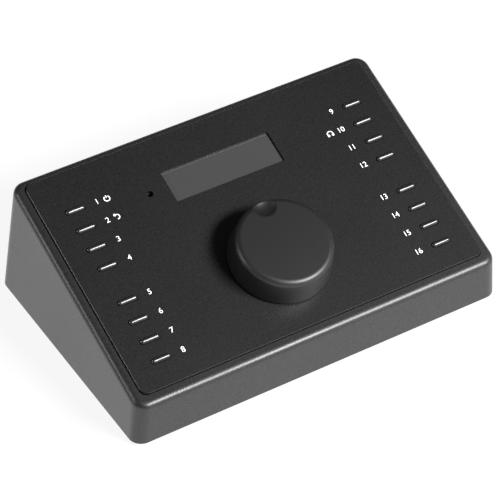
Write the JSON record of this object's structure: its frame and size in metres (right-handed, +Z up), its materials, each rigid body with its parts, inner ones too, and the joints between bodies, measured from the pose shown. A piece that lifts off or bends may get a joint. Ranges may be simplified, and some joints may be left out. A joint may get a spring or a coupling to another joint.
{
  "type": "studio monitor controller",
  "caption": "Wedge-shaped desktop controller for studio loudspeakers with a large turning and pressing knob, bar buttons, a display window and rear sockets.",
  "frame": {"origin": "middle of the footprint, on the table under the rubber feet", "axes": "+X to the user's right, +Y to the rear, +Z up; the panel slopes up towards +Y"},
  "size_m": [0.1886, 0.1192, 0.0605],
  "materials": {
    "case_paint": "fine textured matt black paint",
    "panel_paint": "smooth satin black paint",
    "zinc_steel": "zinc-plated sheet",
    "black_steel": "matt black paint",
    "rubber": "matt",
    "screw_steel": "plated",
    "board": "green solder mask",
    "brass": "turned",
    "nickel_brass": "nickel-plated",
    "black_plastic": "moulded",
    "button_plastic": "semi-gloss moulded",
    "tinted_window": "matt-coated tinted window",
    "display_glass": "dark glass",
    "foam": "foam",
    "capsule_metal": "pressed can",
    "encoder_case": "moulded",
    "knob_soft": "soft-touch coated plastic",
    "tin_steel": "tinned",
    "gold_contact": "gold-plated wire",
    "cable_grey": "pvc"
  },
  "bodies": {
    "case": {"housing": "case_paint", "control_panel": "panel_paint", "base_plate": "zinc_steel", "rear_plate": "black_steel", "rubber_feet": "rubber", "case_screws": "screw_steel", "panel_board": "board", "panel_spacers": "brass", "panel_board_screws": "screw_steel", "switch_bodies": "black_plastic", "display_window": "tinted_window", "display_gasket": "foam", "display_screen": "display_glass", "display_board": "board", "display_pad": "foam", "microphone_boot": "rubber", "microphone_capsule": "capsule_metal", "encoder_body": "encoder_case", "encoder_bushing": "nickel_brass", "encoder_washer": "screw_steel", "encoder_nut": "nickel_brass", "main_board": "board", "main_standoffs": "brass", "main_board_screws": "screw_steel", "input_jack_left": "black_plastic", "input_jack_right": "black_plastic", "headphone_jack": "black_plastic", "jack_nuts": "nickel_brass", "digital_socket": "nickel_brass", "usb_socket": "screw_steel", "usb_tongue": "black_plastic", "network_socket": "tin_steel", "network_contacts": "gold_contact", "power_inlet": "black_plastic", "power_pin": "nickel_brass", "ribbon_cable": "cable_grey", "ribbon_header_upper": "black_plastic", "ribbon_header_lower": "black_plastic"},
    "rotor": {"encoder_rotor": "black_plastic"},
    "knob_body": {"encoder_shaft": "screw_steel", "knob_insert": "brass", "knob": "knob_soft"},
    "button_01": {"button_01": "button_plastic"},
    "button_02": {"button_02": "button_plastic"},
    "button_03": {"button_03": "button_plastic"},
    "button_04": {"button_04": "button_plastic"},
    "button_05": {"button_05": "button_plastic"},
    "button_06": {"button_06": "button_plastic"},
    "button_07": {"button_07": "button_plastic"},
    "button_08": {"button_08": "button_plastic"},
    "button_09": {"button_09": "button_plastic"},
    "button_10": {"button_10": "button_plastic"},
    "button_11": {"button_11": "button_plastic"},
    "button_12": {"button_12": "button_plastic"},
    "button_13": {"button_13": "button_plastic"},
    "button_14": {"button_14": "button_plastic"},
    "button_15": {"button_15": "button_plastic"},
    "button_16": {"button_16": "button_plastic"}
  },
  "joints": [
    {"name": "knob_turn", "type": "hinge", "parent": "case", "child": "rotor", "pos_m": [0, -0.02279, 0.03663], "axis": [0, -0.3173, 0.9483], "continuous": true},
    {"name": "knob_press", "type": "slide", "parent": "rotor", "child": "knob_body", "axis": [0, 0.3173, -0.9483], "range_m": [0, 0.0005], "stiffness_N_per_m": 3000, "springref_m": -0.0005},
    {"name": "button_01_press", "type": "slide", "parent": "case", "child": "button_01", "axis": [0, 0.3173, -0.9483], "range_m": [0, 0.0006], "stiffness_N_per_m": 1200, "springref_m": -0.0005},
    {"name": "button_02_press", "type": "slide", "parent": "case", "child": "button_02", "axis": [0, 0.3173, -0.9483], "range_m": [0, 0.0006], "stiffness_N_per_m": 1200, "springref_m": -0.0005},
    {"name": "button_03_press", "type": "slide", "parent": "case", "child": "button_03", "axis": [0, 0.3173, -0.9483], "range_m": [0, 0.0006], "stiffness_N_per_m": 1200, "springref_m": -0.0005},
    {"name": "button_04_press", "type": "slide", "parent": "case", "child": "button_04", "axis": [0, 0.3173, -0.9483], "range_m": [0, 0.0006], "stiffness_N_per_m": 1200, "springref_m": -0.0005},
    {"name": "button_05_press", "type": "slide", "parent": "case", "child": "button_05", "axis": [0, 0.3173, -0.9483], "range_m": [0, 0.0006], "stiffness_N_per_m": 1200, "springref_m": -0.0005},
    {"name": "button_06_press", "type": "slide", "parent": "case", "child": "button_06", "axis": [0, 0.3173, -0.9483], "range_m": [0, 0.0006], "stiffness_N_per_m": 1200, "springref_m": -0.0005},
    {"name": "button_07_press", "type": "slide", "parent": "case", "child": "button_07", "axis": [0, 0.3173, -0.9483], "range_m": [0, 0.0006], "stiffness_N_per_m": 1200, "springref_m": -0.0005},
    {"name": "button_08_press", "type": "slide", "parent": "case", "child": "button_08", "axis": [0, 0.3173, -0.9483], "range_m": [0, 0.0006], "stiffness_N_per_m": 1200, "springref_m": -0.0005},
    {"name": "button_09_press", "type": "slide", "parent": "case", "child": "button_09", "axis": [0, 0.3173, -0.9483], "range_m": [0, 0.0006], "stiffness_N_per_m": 1200, "springref_m": -0.0005},
    {"name": "button_10_press", "type": "slide", "parent": "case", "child": "button_10", "axis": [0, 0.3173, -0.9483], "range_m": [0, 0.0006], "stiffness_N_per_m": 1200, "springref_m": -0.0005},
    {"name": "button_11_press", "type": "slide", "parent": "case", "child": "button_11", "axis": [0, 0.3173, -0.9483], "range_m": [0, 0.0006], "stiffness_N_per_m": 1200, "springref_m": -0.0005},
    {"name": "button_12_press", "type": "slide", "parent": "case", "child": "button_12", "axis": [0, 0.3173, -0.9483], "range_m": [0, 0.0006], "stiffness_N_per_m": 1200, "springref_m": -0.0005},
    {"name": "button_13_press", "type": "slide", "parent": "case", "child": "button_13", "axis": [0, 0.3173, -0.9483], "range_m": [0, 0.0006], "stiffness_N_per_m": 1200, "springref_m": -0.0005},
    {"name": "button_14_press", "type": "slide", "parent": "case", "child": "button_14", "axis": [0, 0.3173, -0.9483], "range_m": [0, 0.0006], "stiffness_N_per_m": 1200, "springref_m": -0.0005},
    {"name": "button_15_press", "type": "slide", "parent": "case", "child": "button_15", "axis": [0, 0.3173, -0.9483], "range_m": [0, 0.0006], "stiffness_N_per_m": 1200, "springref_m": -0.0005},
    {"name": "button_16_press", "type": "slide", "parent": "case", "child": "button_16", "axis": [0, 0.3173, -0.9483], "range_m": [0, 0.0006], "stiffness_N_per_m": 1200, "springref_m": -0.0005}
  ]
}
